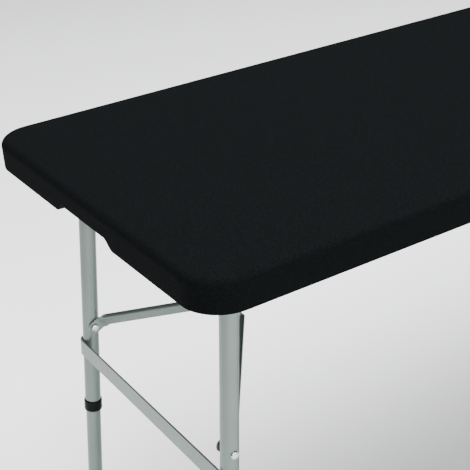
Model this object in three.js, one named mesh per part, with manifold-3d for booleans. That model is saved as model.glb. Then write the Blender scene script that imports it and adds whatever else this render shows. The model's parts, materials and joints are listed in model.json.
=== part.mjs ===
// Folding table: a one-piece moulded top on two tubular leg frames that fold up under it.
// Millimetres, +Z up. The origin is on the floor under the middle of the top, +X along its length.
import * as THREE from 'three';
import { mergeVertices } from 'three/addons/utils/BufferGeometryUtils.js';
import Module from 'manifold-3d';

const wasm = await Module();
wasm.setup();

// ---------------------------------------------------------------- driving dimensions
const TABLE_LENGTH = 1830;
const TABLE_WIDTH = 610;
const TABLE_HEIGHT = 740;
const GAP = 0.3; // left between pieces that touch

// moulded top
const RIM_DEPTH = 45;
const PANEL_THICKNESS = 18;
const SKIRT_THICKNESS = 18;
const CORNER_RADIUS = 55;
const TOP_EDGE_RADIUS = 11;
const RIM_EDGE_RADIUS = 3;
const SKIRT_DRAFT = 2; // the inner wall leans in by this much on its way up
const GRIP_WIDTH = 164; // finger grip in each short end, with its ramps
const GRIP_FLAT = 120;
const GRIP_RISE = 12;

// leg frame, in the end's own frame: x is the distance in from the end face
const LEG_INSET = 103.3; // where the leg's axis meets the plane of the top
const LEG_SPREAD = 194;
const LEG_LEAN = THREE.MathUtils.degToRad(5.09); // feet lean out towards the end
const LEG_SPLAY = THREE.MathUtils.degToRad(1.523); // and a little apart
const LEG_RADIUS = 12.7;
const LEG_WALL = 0.6;
const LEG_END_ABOVE_HINGE = 9;
const LOWER_RADIUS = LEG_RADIUS - LEG_WALL - GAP;
const LOWER_WALL = 1;
const LOWER_TOP_DEPTH = 360; // depths are measured down from the top's surface
const FOLD_ANGLE = THREE.MathUtils.degToRad(95);
const EXTEND = 50; // leg travel out of, and into, the upper tube
const RETRACT = 40;

const HINGE_DEPTH = 35;
const ROD_RADIUS = 6;
const ROD_HALF_LENGTH = 241.5;
const CLIP_RADIUS = 7;
const CLIP_THICKNESS = 2;
const CLIP_PLAY = 0.7;

const STRAP_DEPTH = 350.5;
const STRAP_HEIGHT = 26;
const STRAP_THICKNESS = 3;
const STRAP_WRAP = THREE.MathUtils.degToRad(110);

const COLLAR_DEPTH = 459;
const COLLAR_HEIGHT = 19;
const COLLAR_RADIUS = 14.5;
const COLLAR_LIP = 3;
const COLLAR_CHAMFER = 1;
const COLLAR_TOP_CHAMFER = 1.5; // its height; it is as wide as the other

const BUTTON_DEPTH = 436;
const BUTTON_RADIUS = 3.1;
const BUTTON_PROUD = 3.6;
const STUD_INSET = 0.1; // a button or stud starts this far inside its hole

const FOOT_RADIUS = 14;
const FOOT_HEIGHT = 28;
const FOOT_SOLE = 5;
const FOOT_CHAMFER = 1;

// folding brace: two arms from the legs to a knuckle, and a stay from there to the top
const RIVET_DEPTH = 311;
const RIVET_RADIUS = 3;
const RIVET_HEAD_RADIUS = 6;
const RIVET_HEAD_HEIGHT = 3;
const BRACE_SLOPE = THREE.MathUtils.degToRad(27);
const STAY_PIVOT_DEPTH = 32;
const KNUCKLE_FOLDED_DEPTH = 38; // the knuckle's depth once the legs are folded
const ARM_THICKNESS = 8;
const ARM_WALL = 1.5;
const ARM_HALF_HEIGHT = 9;
const TAB_THICKNESS = 2.5;
const LEG_TAB_RADIUS = 10.5;
const LEG_TAB_LENGTH = 22;
const KNUCKLE_TAB_LENGTH = 15;
const TAB_CLEARANCE = 1.6; // room beside the splayed leg when the brace turns
const STAY_HALF_WIDTH = 8;
const STAY_HALF_HEIGHT = 8;
const STAY_SIDE_GAP = 1.3;

// rails and stay brackets under the top
const RAIL_START = 60;
const RAIL_WEB_Y = 236;
const RAIL_WALL = 1.5;
const RAIL_DEPTH = 26;
const RAIL_FLANGE = 14;
const BRACKET_LENGTH = 34;
const BRACKET_HALF_WIDTH = 30;
const BRACKET_WALL = 2;

const ROUND_STEPS = 20;
const SMALL_ROUND_STEPS = 12;
const CORNER_STEPS = 6;
const DOME_STEPS = 3;
const RAMP_STEPS = 4;
const TOP_EDGE_STEPS = 4;
const RIM_EDGE_STEPS = 2;
const CURVE_STEPS = 6;

// ---------------------------------------------------------------- materials
const makeMaterial = (color, roughness, metalness) =>
  new THREE.MeshStandardMaterial({ color, roughness, metalness });
const materials = {
  top: makeMaterial(0x1b1f20, 0.55, 0),
  coatedSteel: makeMaterial(0x9aa3a0, 0.45, 0.2),
  zincSteel: makeMaterial(0xb9bdbc, 0.35, 0.9),
  blackPlastic: makeMaterial(0x0f1314, 0.5, 0),
};

// ---------------------------------------------------------------- helpers
const Y = new THREE.Vector3(0, 1, 0);
const Z = new THREE.Vector3(0, 0, 1);
const vec = (x, y, z) => new THREE.Vector3(x, y, z);

function solidOf(geometry) {
  const bare = geometry.clone();
  bare.deleteAttribute('normal');
  bare.deleteAttribute('uv');
  const merged = mergeVertices(bare, 1e-4);
  const vertProperties = new Float32Array(merged.attributes.position.array);
  const triVerts = new Uint32Array(merged.index.array);
  return new wasm.Manifold(new wasm.Mesh({ numProp: 3, vertProperties, triVerts }));
}

function geometryOf(solid) {
  const { vertProperties, triVerts } = solid.getMesh();
  const geometry = new THREE.BufferGeometry();
  geometry.setAttribute('position', new THREE.BufferAttribute(vertProperties, 3));
  geometry.setIndex(new THREE.BufferAttribute(triVerts, 1));
  return geometry;
}

function cut(geometry, tools) {
  const rest = tools.reduce((solid, tool) => solid.subtract(solidOf(tool)), solidOf(geometry));
  return geometryOf(rest);
}

// A shape drawn on the axes right and up, extruded by length to both sides of centre.
function extrude(shape, length, right, up, centre = vec(0, 0, 0)) {
  const options = { depth: length, bevelEnabled: false, curveSegments: CURVE_STEPS };
  const geometry = new THREE.ExtrudeGeometry(shape, options);
  geometry.translate(0, 0, -length / 2);
  const basis = new THREE.Matrix4().makeBasis(right, up, right.clone().cross(up));
  return geometry.applyMatrix4(basis.setPosition(centre));
}

const polygon = (points) => new THREE.Shape(points.map(([x, y]) => new THREE.Vector2(x, y)));

// A turned solid: pairs of radius and height, along the direction axis from start.
function turned(profile, start, axis, steps = ROUND_STEPS) {
  const points = profile.map(([radius, height]) => new THREE.Vector2(radius, height));
  const geometry = new THREE.LatheGeometry(points, steps);
  geometry.applyQuaternion(new THREE.Quaternion().setFromUnitVectors(Y, axis));
  return geometry.translate(start.x, start.y, start.z);
}

function rod(radius, length, centre, axis, steps = SMALL_ROUND_STEPS) {
  const end = length / 2;
  return turned([[0, -end], [radius, -end], [radius, end], [0, end]], centre, axis, steps);
}

// The profile of a dome-headed end, from the edge of the head to its tip.
function dome(radius, height, base, direction) {
  const points = [];
  for (let i = 0; i < DOME_STEPS; i += 1) {
    const angle = ((i / DOME_STEPS) * Math.PI) / 2;
    points.push([radius * Math.cos(angle), base + direction * height * Math.sin(angle)]);
  }
  return [...points, [0, base + direction * height]];
}

function addMesh(group, name, geometry, material) {
  const mesh = new THREE.Mesh(geometry, material);
  mesh.name = name;
  group.add(mesh);
}

// ---------------------------------------------------------------- moulded top
const smooth = (t) => t * t * (3 - 2 * t);

function gripRise(y) {
  const ramp = (GRIP_WIDTH - GRIP_FLAT) / 2;
  const inside = (GRIP_WIDTH / 2 - Math.abs(y)) / ramp;
  return GRIP_RISE * smooth(THREE.MathUtils.clamp(inside, 0, 1));
}

// The y positions of the points along a short end, evenly through each ramp of the grip.
function gripStations() {
  const ramp = (GRIP_WIDTH - GRIP_FLAT) / 2;
  const rampY = Array.from({ length: RAMP_STEPS + 1 }, (_, i) => GRIP_FLAT / 2 + (ramp * i) / RAMP_STEPS);
  return [...rampY.map((y) => -y).reverse(), 0, ...rampY];
}

// One closed loop of the top's plan, inset from its outside, at a depth below the surface.
function planLoop(inset, depth, followsGrip) {
  const halfLength = TABLE_LENGTH / 2 - inset;
  const halfWidth = TABLE_WIDTH / 2 - inset;
  const radius = CORNER_RADIUS - inset;
  const points = [];
  const put = (x, y) => points.push(vec(x, y, TABLE_HEIGHT - depth + (followsGrip ? gripRise(y) : 0)));
  const corner = (signX, signY, from) => {
    for (let i = 0; i <= CORNER_STEPS; i += 1) {
      const angle = from + (i / CORNER_STEPS) * (Math.PI / 2);
      const x = signX * (halfLength - radius) + radius * Math.cos(angle);
      put(x, signY * (halfWidth - radius) + radius * Math.sin(angle));
    }
  };
  const stations = gripStations();
  stations.forEach((y) => put(halfLength, y));
  corner(1, 1, 0);
  corner(-1, 1, Math.PI / 2);
  [...stations].reverse().forEach((y) => put(-halfLength, y));
  corner(-1, -1, Math.PI);
  corner(1, -1, 1.5 * Math.PI);
  return points;
}

// A closed body from loops of equal length, its first and last loops closed by flat fans.
function skinLoops(loops) {
  const count = loops[0].length;
  const positions = loops.flat().flatMap((p) => [p.x, p.y, p.z]);
  const index = [];
  for (let ring = 0; ring < loops.length - 1; ring += 1) {
    for (let i = 0; i < count; i += 1) {
      const a = ring * count + i;
      const b = ring * count + ((i + 1) % count);
      index.push(a, a + count, b + count, a, b + count, b);
    }
  }
  const close = (ring, flip) => {
    const centre = positions.length / 3;
    positions.push(0, 0, loops[ring][0].z);
    for (let i = 0; i < count; i += 1) {
      const pair = [ring * count + i, ring * count + ((i + 1) % count)];
      index.push(centre, ...(flip ? pair.reverse() : pair));
    }
  };
  close(0, false);
  close(loops.length - 1, true);
  const geometry = new THREE.BufferGeometry();
  geometry.setAttribute('position', new THREE.Float32BufferAttribute(positions, 3));
  geometry.setIndex(index);
  return geometry;
}

function tabletop() {
  const quarterTurn = (steps) => Array.from({ length: steps + 1 }, (_, i) => ((i / steps) * Math.PI) / 2);
  const topEdge = quarterTurn(TOP_EDGE_STEPS).map((a) =>
    planLoop(TOP_EDGE_RADIUS * (1 - Math.sin(a)), TOP_EDGE_RADIUS * (1 - Math.cos(a)), false));
  const rimTurn = quarterTurn(RIM_EDGE_STEPS);
  const rimOutside = rimTurn.map((a) =>
    planLoop(RIM_EDGE_RADIUS * (1 - Math.cos(a)), RIM_DEPTH - RIM_EDGE_RADIUS * (1 - Math.sin(a)), true));
  const rimInside = rimTurn.map((a) =>
    planLoop(SKIRT_THICKNESS - RIM_EDGE_RADIUS * (1 - Math.sin(a)),
      RIM_DEPTH - RIM_EDGE_RADIUS * (1 - Math.cos(a)), true));
  const ceiling = [planLoop(SKIRT_THICKNESS + SKIRT_DRAFT, PANEL_THICKNESS, false)];
  return skinLoops([...topEdge, ...rimOutside, ...rimInside, ...ceiling]);
}

// ---------------------------------------------------------------- side rails
// A rolled C-section along each long side: the ends of the hinge rods turn in its web.
function sideRail(side) {
  const top = TABLE_HEIGHT - PANEL_THICKNESS - GAP;
  const bottom = top - RAIL_DEPTH;
  const web = RAIL_WEB_Y;
  const section = polygon([
    [web, top], [web, bottom], [web + RAIL_FLANGE, bottom], [web + RAIL_FLANGE, bottom + RAIL_WALL],
    [web + RAIL_WALL, bottom + RAIL_WALL], [web + RAIL_WALL, top - RAIL_WALL],
    [web + RAIL_FLANGE, top - RAIL_WALL], [web + RAIL_FLANGE, top],
  ].map(([y, z]) => [side * y, z]));
  const rail = extrude(section, TABLE_LENGTH - 2 * RAIL_START, Y, Z);
  const hingeX = TABLE_LENGTH / 2 - hinge.x;
  const holeZ = TABLE_HEIGHT - HINGE_DEPTH;
  const holeAt = (x) => rod(ROD_RADIUS + GAP, 8 * RAIL_WALL, vec(x, side * web, holeZ), Y);
  return cut(rail, [holeAt(hingeX), holeAt(-hingeX)]);
}

// ---------------------------------------------------------------- the end's own frame
// x runs in from the end face, y across the table and z up from the floor.
const legDirection = (side) => vec(-Math.tan(LEG_LEAN), side * Math.tan(LEG_SPLAY), -1);

function onLeg(depth, side) {
  const point = vec(LEG_INSET, side * LEG_SPREAD, TABLE_HEIGHT);
  return point.addScaledVector(legDirection(side), depth);
}

const legStretch = legDirection(1).length(); // length along a leg for each millimetre of depth
const hinge = onLeg(HINGE_DEPTH, 1).setY(0);
const braceRoot = onLeg(RIVET_DEPTH, 1).setY(0);
const slopeAxis = vec(Math.cos(BRACE_SLOPE), 0, Math.sin(BRACE_SLOPE));
const slopeUp = slopeAxis.clone().cross(Y);

// The open brace is one straight run of this length from the legs to the stay's pivot.
const RUN = (RIVET_DEPTH - STAY_PIVOT_DEPTH) / Math.sin(BRACE_SLOPE);
const stayPivot = braceRoot.clone().addScaledVector(slopeAxis, RUN);

// The arm's share of that run: once folded, the knuckle lies at its own depth on the hinge's
// side of the brace root, and arm and stay still reach it, so their lengths add up to the run.
function armLength() {
  const foldedRoot = braceRoot.clone().sub(hinge).applyAxisAngle(Y, -FOLD_ANGLE).add(hinge);
  const knuckleZ = TABLE_HEIGHT - KNUCKLE_FOLDED_DEPTH;
  const rootRise = (knuckleZ - foldedRoot.z) ** 2;
  const pivotRise = (knuckleZ - stayPivot.z) ** 2;
  const slope = (stayPivot.x - foldedRoot.x) / RUN;
  const offset = (RUN + (foldedRoot.x ** 2 - stayPivot.x ** 2 + rootRise - pivotRise) / RUN) / 2;
  const a = slope ** 2 - 1;
  const b = 2 * (slope * offset + foldedRoot.x);
  const c = offset ** 2 - foldedRoot.x ** 2 - rootRise;
  const knuckleX = (-b + Math.sqrt(b ** 2 - 4 * a * c)) / (2 * a);
  return slope * knuckleX + offset;
}

const ARM = armLength();

// A point of the brace: p up the slope from its root, y across the table, n square to both.
function onSlope(p, y, n) {
  const point = braceRoot.clone().addScaledVector(slopeAxis, p);
  return point.addScaledVector(slopeUp, n).setY(y);
}

// A tube or ring about a leg's axis: pairs of radius and depth.
function aboutLeg(profile, side) {
  const up = legDirection(side).normalize().negate();
  const start = onLeg(0, side);
  return turned(profile.map(([radius, depth]) => [radius, -depth * legStretch]), start, up);
}

const outward = (side) => {
  const along = legDirection(side).normalize();
  return vec(0, side, 0).addScaledVector(along, -side * along.y).normalize();
};

function legUpper(side) {
  const top = HINGE_DEPTH - LEG_END_ABOVE_HINGE;
  const bottom = COLLAR_DEPTH + COLLAR_HEIGHT / 2 - COLLAR_LIP - GAP;
  const inner = LEG_RADIUS - LEG_WALL;
  const tube = aboutLeg([
    [LEG_RADIUS, bottom], [LEG_RADIUS, top], [inner, top], [inner, bottom], [LEG_RADIUS, bottom],
  ], side);
  const button = onLeg(BUTTON_DEPTH, side).addScaledVector(outward(side), LEG_RADIUS);
  return cut(tube, [
    rod(ROD_RADIUS + GAP, 4 * LEG_RADIUS, onLeg(HINGE_DEPTH, side), Y),
    rod(RIVET_RADIUS + GAP, 4 * LEG_RADIUS, onLeg(RIVET_DEPTH, side), Y),
    rod(BUTTON_RADIUS + GAP, LEG_RADIUS, button, outward(side)),
  ]);
}

function legLower(side) {
  const bottom = TABLE_HEIGHT - FOOT_SOLE;
  const inner = LOWER_RADIUS - LOWER_WALL;
  const tube = aboutLeg([
    [LOWER_RADIUS, bottom], [LOWER_RADIUS, LOWER_TOP_DEPTH], [inner, LOWER_TOP_DEPTH], [inner, bottom],
    [LOWER_RADIUS, bottom],
  ], side);
  const holeAt = (travel) => {
    const axisPoint = onLeg(BUTTON_DEPTH - travel / legStretch, side);
    const centre = axisPoint.addScaledVector(outward(side), LEG_RADIUS);
    return rod(BUTTON_RADIUS + GAP, LEG_RADIUS, centre, outward(side));
  };
  return cut(tube, [holeAt(0), holeAt(EXTEND), holeAt(-RETRACT)]);
}

function legCollar(side) {
  const top = COLLAR_DEPTH - COLLAR_HEIGHT / 2;
  const bottom = COLLAR_DEPTH + COLLAR_HEIGHT / 2;
  const bore = LEG_RADIUS + GAP;
  const lip = LOWER_RADIUS + GAP;
  return aboutLeg([
    [bore, bottom - COLLAR_LIP], [lip, bottom - COLLAR_LIP], [lip, bottom],
    [COLLAR_RADIUS - COLLAR_CHAMFER, bottom], [COLLAR_RADIUS, bottom - COLLAR_CHAMFER],
    [COLLAR_RADIUS, top + COLLAR_TOP_CHAMFER], [COLLAR_RADIUS - COLLAR_CHAMFER, top], [bore, top],
    [bore, bottom - COLLAR_LIP],
  ], side);
}

function foot(side) {
  const bore = LOWER_RADIUS + GAP;
  const sole = TABLE_HEIGHT - FOOT_SOLE + GAP;
  const top = TABLE_HEIGHT - FOOT_HEIGHT;
  const cap = aboutLeg([
    [0, TABLE_HEIGHT + FOOT_RADIUS], [FOOT_RADIUS, TABLE_HEIGHT + FOOT_RADIUS],
    [FOOT_RADIUS, top + FOOT_CHAMFER], [FOOT_RADIUS - FOOT_CHAMFER, top], [bore, top], [bore, sole],
    [0, sole],
  ], side);
  const block = 8 * FOOT_RADIUS; // takes away all of the cap that is below the floor
  const below = new THREE.BoxGeometry(block, block, block);
  const ground = onLeg(TABLE_HEIGHT, side);
  return cut(cap, [below.translate(ground.x, ground.y, -block / 2)]);
}

function snapButton(side) {
  const inner = LEG_RADIUS - LEG_WALL + STUD_INSET;
  const shoulder = LEG_RADIUS + BUTTON_PROUD / 2;
  const tip = dome(BUTTON_RADIUS, BUTTON_PROUD / 2, shoulder, 1);
  const profile = [[0, inner], [BUTTON_RADIUS, inner], ...tip];
  return turned(profile, onLeg(BUTTON_DEPTH, side), outward(side), SMALL_ROUND_STEPS);
}

// ---------------------------------------------------------------- leg frame
function hingeRod() {
  return rod(ROD_RADIUS, 2 * ROD_HALF_LENGTH, hinge, Y, ROUND_STEPS);
}

function rodClip(side) {
  const near = RAIL_WEB_Y + RAIL_WALL + CLIP_PLAY;
  const bore = ROD_RADIUS + GAP;
  const ring = [
    [bore, near], [CLIP_RADIUS, near], [CLIP_RADIUS, near + CLIP_THICKNESS], [bore, near + CLIP_THICKNESS],
    [bore, near],
  ];
  return turned(ring, hinge, vec(0, side, 0), SMALL_ROUND_STEPS);
}

// A flat bar across the outer faces of the legs, its ends wrapped round the tubes.
function crossStrap() {
  const y = onLeg(STRAP_DEPTH, 1).y;
  const inner = LEG_RADIUS + 2 * GAP;
  const outer = inner + STRAP_THICKNESS;
  const shape = new THREE.Shape();
  shape.absarc(0, y, outer, Math.PI - STRAP_WRAP, Math.PI, false);
  shape.absarc(0, -y, outer, Math.PI, Math.PI + STRAP_WRAP, false);
  shape.absarc(0, -y, inner, Math.PI + STRAP_WRAP, Math.PI, true);
  shape.absarc(0, y, inner, Math.PI, Math.PI - STRAP_WRAP, true);
  const across = vec(Math.cos(LEG_LEAN), 0, -Math.sin(LEG_LEAN));
  return extrude(shape, STRAP_HEIGHT, across, Y, onLeg(STRAP_DEPTH, 1).setY(0));
}

// ---------------------------------------------------------------- folding brace
const legTabY = onLeg(RIVET_DEPTH, 1).y - LEG_RADIUS - TAB_CLEARANCE - TAB_THICKNESS / 2;
const knuckleTabY = STAY_HALF_WIDTH + STAY_SIDE_GAP + TAB_THICKNESS / 2;

// A strip beside the line of the arm's open edge, seen along the arm's height: p runs up the
// slope and y out to the leg. Its sides lie inwards of that line by near and far.
function armPlan(side, near, far) {
  const start = LEG_TAB_LENGTH;
  const end = ARM - KNUCKLE_TAB_LENGTH;
  const rise = knuckleTabY + ARM_THICKNESS / 2 - legTabY;
  const normal = new THREE.Vector2(rise, start - end).normalize();
  const at = (p, y, push) => [p + normal.x * push, side * (y + normal.y * push)];
  return polygon([
    at(start, legTabY, near), at(end, legTabY + rise, near),
    at(end, legTabY + rise, far), at(start, legTabY, far),
  ]);
}

// A flattened end of the arm: round about its pivot, then straight along the slope to reach.
function armTab(pivot, reach, radius, y) {
  const towards = Math.sign(reach - pivot);
  const shape = new THREE.Shape();
  shape.moveTo(reach, -towards * ARM_HALF_HEIGHT);
  shape.lineTo(reach, towards * ARM_HALF_HEIGHT);
  const start = (towards * Math.PI) / 2;
  shape.absarc(pivot, 0, radius, start, start + Math.PI, false);
  return extrude(shape, TAB_THICKNESS, slopeAxis, slopeUp, onSlope(0, y, 0));
}

function braceArm(side) {
  const channel = extrude(armPlan(side, 0, ARM_THICKNESS), 2 * ARM_HALF_HEIGHT, slopeAxis, Y, braceRoot);
  const grooveHeight = 2 * (ARM_HALF_HEIGHT - ARM_WALL);
  const groovePlan = armPlan(side, -ARM_WALL, ARM_THICKNESS - ARM_WALL);
  const groove = extrude(groovePlan, grooveHeight, slopeAxis, Y, braceRoot);
  const legTab = armTab(0, LEG_TAB_LENGTH, LEG_TAB_RADIUS, side * legTabY);
  const knuckleReach = ARM - KNUCKLE_TAB_LENGTH - ARM_THICKNESS;
  const knuckleTab = armTab(ARM, knuckleReach, ARM_HALF_HEIGHT, side * knuckleTabY);
  const body = solidOf(channel).subtract(solidOf(groove));
  const joined = body.add(solidOf(legTab)).add(solidOf(knuckleTab));
  const holeAt = (p, y) => solidOf(rod(RIVET_RADIUS + GAP, 4 * TAB_THICKNESS, onSlope(p, y, 0), Y));
  return geometryOf(joined.subtract(holeAt(0, side * legTabY)).subtract(holeAt(ARM, side * knuckleTabY)));
}

// The rivet through leg and arm, with a dome on each end.
function braceRivet(side) {
  const inside = legTabY - TAB_THICKNESS / 2 - GAP;
  const outside = onLeg(RIVET_DEPTH, 1).y + LEG_RADIUS + GAP;
  return turned([
    ...dome(RIVET_HEAD_RADIUS, RIVET_HEAD_HEIGHT, inside, -1).reverse(), [RIVET_RADIUS, inside],
    [RIVET_RADIUS, outside], ...dome(RIVET_HEAD_RADIUS, RIVET_HEAD_HEIGHT, outside, 1),
  ], braceRoot, vec(0, side, 0), SMALL_ROUND_STEPS);
}

function knuckleRivet(side) {
  const inside = knuckleTabY - TAB_THICKNESS / 2 + STUD_INSET;
  const outside = knuckleTabY + TAB_THICKNESS / 2 + GAP;
  return turned([
    [0, inside], [RIVET_RADIUS, inside], [RIVET_RADIUS, outside],
    ...dome(RIVET_HEAD_RADIUS, RIVET_HEAD_HEIGHT, outside, 1),
  ], onSlope(ARM, 0, 0), vec(0, side, 0), SMALL_ROUND_STEPS);
}

// An inverted channel with round ends, from the knuckle up to the bracket.
function stayLink() {
  const shape = new THREE.Shape();
  shape.absarc(ARM, 0, STAY_HALF_HEIGHT, Math.PI / 2, 1.5 * Math.PI, false);
  shape.absarc(RUN, 0, STAY_HALF_HEIGHT, -Math.PI / 2, Math.PI / 2, false);
  const bar = extrude(shape, 2 * STAY_HALF_WIDTH, slopeAxis, slopeUp, onSlope(0, 0, 0));
  const hollow = new THREE.BoxGeometry(2 * RUN, 2 * (STAY_HALF_WIDTH - ARM_WALL), 2 * STAY_HALF_HEIGHT);
  const tilt = new THREE.Matrix4().makeBasis(slopeAxis, Y, slopeUp);
  hollow.applyMatrix4(tilt.setPosition(onSlope(RUN, 0, -ARM_WALL)));
  const holeAt = (p) => rod(RIVET_RADIUS + GAP, 4 * STAY_HALF_WIDTH, onSlope(p, 0, 0), Y);
  return cut(bar, [hollow, holeAt(ARM), holeAt(RUN)]);
}

// A plate under the top with two ears that hold the stay's pin.
function stayBracket() {
  const top = TABLE_HEIGHT - PANEL_THICKNESS - GAP;
  const plate = top - BRACKET_WALL;
  const bottom = stayPivot.z - STAY_HALF_HEIGHT;
  const inner = STAY_HALF_WIDTH + STAY_SIDE_GAP;
  const outer = inner + BRACKET_WALL;
  const half = [[BRACKET_HALF_WIDTH, top], [BRACKET_HALF_WIDTH, plate], [outer, plate], [outer, bottom],
    [inner, bottom], [inner, plate]];
  const mirrored = half.map(([y, z]) => [-y, z]).reverse();
  const bracket = extrude(polygon([...half, ...mirrored]), BRACKET_LENGTH, Y, Z, vec(stayPivot.x, 0, 0));
  return cut(bracket, [rod(RIVET_RADIUS + GAP, 2 * BRACKET_HALF_WIDTH, stayPivot, Y)]);
}

function stayBracketPin() {
  const head = STAY_HALF_WIDTH + STAY_SIDE_GAP + BRACKET_WALL + GAP;
  return turned([
    ...dome(RIVET_HEAD_RADIUS, RIVET_HEAD_HEIGHT, -head, -1).reverse(), [RIVET_RADIUS, -head],
    [RIVET_RADIUS, head], ...dome(RIVET_HEAD_RADIUS, RIVET_HEAD_HEIGHT, head, 1),
  ], stayPivot, Y, SMALL_ROUND_STEPS);
}

// ---------------------------------------------------------------- assembly
const table = new THREE.Group();
addMesh(table, 'tabletop', tabletop(), materials.top);
addMesh(table, 'side_rail_front', sideRail(-1), materials.coatedSteel);
addMesh(table, 'side_rail_back', sideRail(1), materials.coatedSteel);

// Both ends are the same; the right one is turned half round, so its front is its own +y side.
[['left', 1], ['right', -1]].forEach(([end, facing]) => {
  const group = new THREE.Group();
  group.position.set((-facing * TABLE_LENGTH) / 2, 0, 0);
  group.rotation.z = facing === 1 ? 0 : Math.PI;
  table.add(group);
  const { coatedSteel, zincSteel, blackPlastic } = materials;
  addMesh(group, `hinge_rod_${end}`, hingeRod(), zincSteel);
  addMesh(group, `cross_strap_${end}`, crossStrap(), coatedSteel);
  addMesh(group, `stay_link_${end}`, stayLink(), coatedSteel);
  addMesh(group, `stay_bracket_${end}`, stayBracket(), zincSteel);
  addMesh(group, `stay_bracket_pin_${end}`, stayBracketPin(), zincSteel);
  [['front', -facing], ['back', facing]].forEach(([sideName, side]) => {
    const place = `${end}_${sideName}`;
    addMesh(group, `rod_clip_${place}`, rodClip(side), zincSteel);
    addMesh(group, `leg_upper_${place}`, legUpper(side), coatedSteel);
    addMesh(group, `leg_collar_${place}`, legCollar(side), blackPlastic);
    addMesh(group, `leg_lower_${place}`, legLower(side), coatedSteel);
    addMesh(group, `foot_${place}`, foot(side), blackPlastic);
    addMesh(group, `snap_button_${place}`, snapButton(side), zincSteel);
    addMesh(group, `brace_arm_${place}`, braceArm(side), coatedSteel);
    addMesh(group, `brace_rivet_${place}`, braceRivet(side), zincSteel);
    addMesh(group, `knuckle_rivet_${place}`, knuckleRivet(side), zincSteel);
  });
});

export default table;
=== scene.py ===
import json
import math

import bmesh
import bpy
from bpy.props import FloatProperty, FloatVectorProperty, IntProperty, PointerProperty
from mathutils import Matrix, Vector

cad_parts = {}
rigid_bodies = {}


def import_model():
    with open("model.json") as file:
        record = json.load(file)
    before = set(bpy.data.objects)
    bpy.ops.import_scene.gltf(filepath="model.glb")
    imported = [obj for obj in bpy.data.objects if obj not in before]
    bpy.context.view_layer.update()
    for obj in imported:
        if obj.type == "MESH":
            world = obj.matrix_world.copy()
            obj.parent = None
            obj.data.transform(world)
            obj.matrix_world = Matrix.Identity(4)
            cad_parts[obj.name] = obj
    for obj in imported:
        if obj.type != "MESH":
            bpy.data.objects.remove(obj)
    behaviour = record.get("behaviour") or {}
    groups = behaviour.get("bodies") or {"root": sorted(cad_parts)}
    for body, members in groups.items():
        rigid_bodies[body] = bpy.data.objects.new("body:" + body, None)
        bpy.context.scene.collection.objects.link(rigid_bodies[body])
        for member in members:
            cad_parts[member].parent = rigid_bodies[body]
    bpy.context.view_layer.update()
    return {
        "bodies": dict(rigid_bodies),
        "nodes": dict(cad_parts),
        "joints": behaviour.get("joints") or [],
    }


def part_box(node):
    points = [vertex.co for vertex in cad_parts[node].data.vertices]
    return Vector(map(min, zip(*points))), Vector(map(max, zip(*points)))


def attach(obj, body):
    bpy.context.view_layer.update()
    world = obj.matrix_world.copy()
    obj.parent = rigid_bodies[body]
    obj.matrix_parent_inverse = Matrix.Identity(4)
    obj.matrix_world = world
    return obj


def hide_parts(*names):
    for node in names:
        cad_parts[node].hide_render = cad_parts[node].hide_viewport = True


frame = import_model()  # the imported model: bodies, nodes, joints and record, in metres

bl_info = {
    "name": "Folding Table",
    "version": (1, 0, 0),
    "blender": (4, 5, 0),
    "location": "3D View > Sidebar > Folding Table",
    "description": "A one-piece moulded table on two folding leg frames, with its studio",
    "category": "Object",
}

MM = 0.001
TINY = 0.01 * MM
WELD = 0.1 * TINY  # points closer than this are one

# ---------------------------------------------------------------- places from the frame
# Every piece is shaped for the left end's back leg, then mirrored to the other three places.
ENDS = {"left": 1, "right": -1}
SIDES = {"back": 1, "front": -1}
X = Vector((1, 0, 0))
Y = Vector((0, 1, 0))
Z = Vector((0, 0, 1))
JOINTS = {joint["name"]: joint for joint in frame["joints"]}
HINGE = Vector(JOINTS["fold_left"]["pos_m"])
BRACE_ROOT = Vector(JOINTS["brace_turn_left"]["pos_m"])
STAY_PIVOT = Vector(JOINTS["stay_turn_left"]["pos_m"])
LEG_DOWN = Vector(JOINTS["height_left_back"]["axis"])
LEG_TRAVEL = JOINTS["height_left_back"]["range_m"]
BUTTON_OUT = -Vector(JOINTS["button_press_left_back"]["axis"])
SLOPE = (STAY_PIVOT - BRACE_ROOT).normalized()  # along the brace, from the leg up to the top
SLOPE_UP = SLOPE.cross(Y)
LEAN = Vector((LEG_DOWN.x, 0, LEG_DOWN.z)).normalized()  # down the plane of the two legs
INWARD = LEAN.cross(Y)  # square to that plane, towards the middle of the table


def centre_of(node):
    """The middle of a node's vertices, which lies on the axis of a turned piece."""
    vertices = frame["nodes"][node].data.vertices
    return sum((v.co for v in vertices), Vector()) / len(vertices)


def about(node, origin, axis):
    """Where a turned node starts and ends along an axis, and its least and greatest radius."""
    offsets = [v.co - origin for v in frame["nodes"][node].data.vertices]
    along = [offset.dot(axis) for offset in offsets]
    radii = [(offset - axis * t).length for offset, t in zip(offsets, along)]
    return min(along), max(along), min(radii), max(radii)


LEG_POINT = centre_of("leg_collar_left_back")
BUTTON = centre_of("snap_button_left_back")


def leg_at(plane_point, plane_normal):
    """Where the leg's axis meets a plane."""
    reach = (plane_point - LEG_POINT).dot(plane_normal) / LEG_DOWN.dot(plane_normal)
    return LEG_POINT + LEG_DOWN * reach


# ---------------------------------------------------------------- settings
def linear(code):
    """An sRGB hex colour as the linear RGBA that Blender takes."""
    channels = [int(code[i:i + 2], 16) / 255 for i in (1, 3, 5)]
    return (*[c / 12.92 if c <= 0.04045 else ((c + 0.055) / 1.055) ** 2.4 for c in channels], 1)


def length(label, description, millimetres):
    return FloatProperty(name=label, description=description, default=millimetres * MM,
                         unit="LENGTH", precision=5)


def angle(label, description, degrees):
    return FloatProperty(name=label, description=description, default=math.radians(degrees),
                         subtype="ANGLE")


def colour(label, description, code):
    return FloatVectorProperty(name=label, description=description, default=linear(code),
                               size=4, min=0, max=1, subtype="COLOR")


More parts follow.
